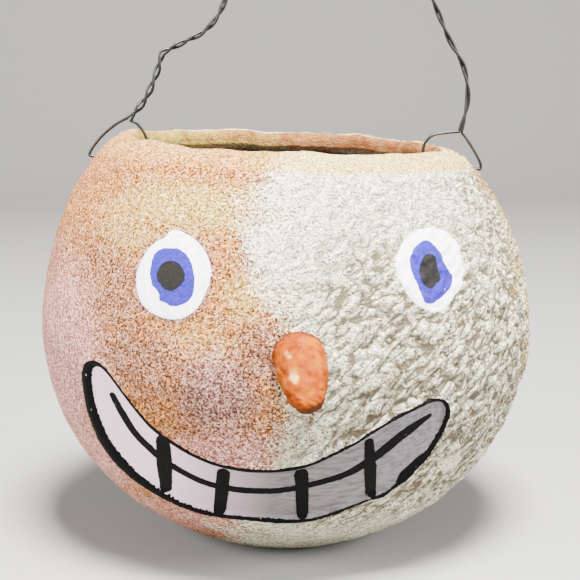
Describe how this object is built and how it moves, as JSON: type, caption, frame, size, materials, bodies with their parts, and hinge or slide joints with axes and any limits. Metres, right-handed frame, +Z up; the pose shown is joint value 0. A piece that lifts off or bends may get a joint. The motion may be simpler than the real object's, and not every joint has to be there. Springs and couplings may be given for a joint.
{
  "type": "snowman head treat bucket",
  "caption": "Hollow paper-pulp snowman head, open at the top, with a carrot nose, a painted grin and a twisted wire bail that swings on holes below the rim.",
  "frame": {"origin": "centre of the flat base that the bucket stands on", "axes": "+Z up through the open mouth, -Y the way the face looks, +X to the viewer's right"},
  "size_m": [0.1485, 0.1635, 0.1924],
  "materials": {
    "pulp_shell": "matt cream paint over pebbled paper pulp, rubbed with brown stain",
    "pulp_carrot": "matt orange paint, worn on its high spots",
    "bail_wire": "dark annealed steel wire",
    "eye_white_paint": "eggshell white paint",
    "iris_blue_paint": "eggshell violet-blue paint",
    "pupil_paint": "eggshell dark brown paint",
    "mouth_white_paint": "brushed chalky white paint",
    "black_paint": "brushed black paint"
  },
  "bodies": {
    "head": {"head_shell": "pulp_shell", "carrot_nose": "pulp_carrot", "eye_white_left": "eye_white_paint", "eye_white_right": "eye_white_paint", "iris_left": "iris_blue_paint", "iris_right": "iris_blue_paint", "pupil_left": "pupil_paint", "pupil_right": "pupil_paint", "mouth_field": "mouth_white_paint", "mouth_outline": "black_paint", "bite_line": "black_paint", "tooth_bar_1": "black_paint", "tooth_bar_2": "black_paint", "tooth_bar_3": "black_paint", "tooth_bar_4": "black_paint"},
    "bail": {"bail_strand_outer": "bail_wire", "bail_strand_inner": "bail_wire"}
  },
  "joints": [
    {"name": "bail_swing", "type": "hinge", "parent": "head", "child": "bail", "pos_m": [0, 0, 0.1127], "axis": [0.9992, 0, -0.0404], "range_deg": [-42, 42]}
  ]
}
